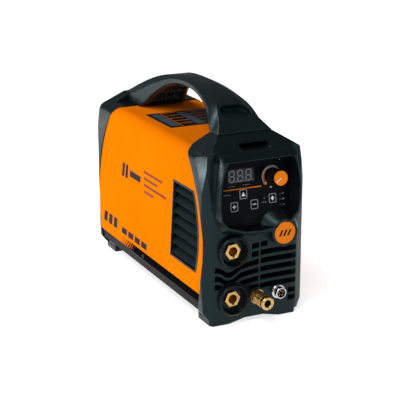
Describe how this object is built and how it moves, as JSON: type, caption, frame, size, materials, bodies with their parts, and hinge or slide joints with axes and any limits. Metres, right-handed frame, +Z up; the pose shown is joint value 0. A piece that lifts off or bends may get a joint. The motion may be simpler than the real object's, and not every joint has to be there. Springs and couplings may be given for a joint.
{
  "type": "tig welder",
  "caption": "Portable inverter TIG welder: folded orange cover between dark end mouldings, arched carrying handle, tilted control panel in a raised bezel, twist-lock cable sockets, gas outlet.",
  "frame": {"origin": "on the floor, under the centre of the whole machine including its front gas outlet and rear gas inlet", "axes": "+X to the right seen from the front, +Y to the back along the machine, +Z up; the front panel faces -Y"},
  "size_m": [0.155, 0.45, 0.306],
  "materials": {
    "moulding": "satin",
    "handle_plastic": "satin",
    "black_plastic": "satin",
    "plate_film": "satin",
    "key_rubber": "matt",
    "display_lens": "gloss",
    "cover_paint": "satin powder coat",
    "tray_paint": "satin",
    "orange_plastic": "satin",
    "brass": "machined",
    "chrome": "bright",
    "steel": "zinc plated",
    "aluminium": "as extruded",
    "board": "satin",
    "ferrite": "matt",
    "copper_winding": "enamelled",
    "capacitor_sleeve": "gloss",
    "hose_rubber": "satin",
    "label_print": "satin",
    "lamp_lens": "gloss"
  },
  "bodies": {
    "machine": {"front_panel": "moulding", "front_foot": "moulding", "rear_panel": "moulding", "rear_foot": "moulding", "cover_shell": "cover_paint", "base_tray": "tray_paint", "carry_handle": "handle_plastic", "left_louvre": "black_plastic", "right_louvre": "black_plastic", "control_plate": "plate_film", "display_module": "display_lens", "control_board": "board", "indicator_lamps": "lamp_lens", "dial_potentiometer": "steel", "upper_socket_collar": "black_plastic", "upper_socket_contact": "brass", "lower_socket_collar": "black_plastic", "lower_socket_contact": "brass", "gas_outlet_body": "brass", "control_socket_shell": "chrome", "control_socket_insert": "black_plastic", "control_socket_pins": "brass", "badge_disc": "orange_plastic", "fan_frame": "black_plastic", "fan_guard": "steel", "power_switch_body": "black_plastic", "cable_gland": "black_plastic", "gas_inlet_barb": "brass", "gas_valve": "steel", "gas_hose": "hose_rubber", "heat_sink": "aluminium", "power_board": "board", "power_transistors": "black_plastic", "bus_capacitors": "capacitor_sleeve", "transformer_core": "ferrite", "transformer_winding": "copper_winding", "output_choke": "copper_winding", "rectifier_bridge": "black_plastic", "start_coil": "copper_winding", "socket_busbars": "copper_winding", "top_label": "label_print", "cover_screws": "steel", "panel_screws": "steel"},
    "dial": {"dial_knob": "black_plastic", "dial_cap": "orange_plastic", "dial_shaft": "steel"},
    "select_key": {"key_select": "key_rubber"},
    "raise_key": {"key_raise": "key_rubber"},
    "lower_key": {"key_lower": "key_rubber"},
    "mode_key": {"key_mode": "key_rubber"},
    "rotor": {"fan_rotor": "black_plastic"},
    "rocker": {"power_rocker": "orange_plastic"},
    "coupler_sleeve": {"gas_outlet_sleeve": "brass"}
  },
  "joints": [
    {"name": "dial_turn", "type": "hinge", "parent": "machine", "child": "dial", "pos_m": [0.03, -0.17339, 0.19904], "axis": [0, 0.9903, -0.1392], "range_deg": [0, 300]},
    {"name": "select_press", "type": "slide", "parent": "machine", "child": "select_key", "axis": [0, 0.9903, -0.1392], "range_m": [0, 0.0006], "stiffness_N_per_m": 400},
    {"name": "raise_press", "type": "slide", "parent": "machine", "child": "raise_key", "axis": [0, 0.9903, -0.1392], "range_m": [0, 0.0006], "stiffness_N_per_m": 400},
    {"name": "lower_press", "type": "slide", "parent": "machine", "child": "lower_key", "axis": [0, 0.9903, -0.1392], "range_m": [0, 0.0006], "stiffness_N_per_m": 400},
    {"name": "mode_press", "type": "slide", "parent": "machine", "child": "mode_key", "axis": [0, 0.9903, -0.1392], "range_m": [0, 0.0006], "stiffness_N_per_m": 400},
    {"name": "fan_spin", "type": "hinge", "parent": "machine", "child": "rotor", "pos_m": [-0.016, 0.186, 0.086], "axis": [0, 1, 0], "continuous": true},
    {"name": "switch_tilt", "type": "hinge", "parent": "machine", "child": "rocker", "pos_m": [0.05, 0.1978, 0.196], "axis": [1, 0, 0], "range_deg": [-16, 0]},
    {"name": "sleeve_slide", "type": "slide", "parent": "machine", "child": "coupler_sleeve", "axis": [0, 1, 0], "range_m": [0, 0.003], "stiffness_N_per_m": 600}
  ]
}
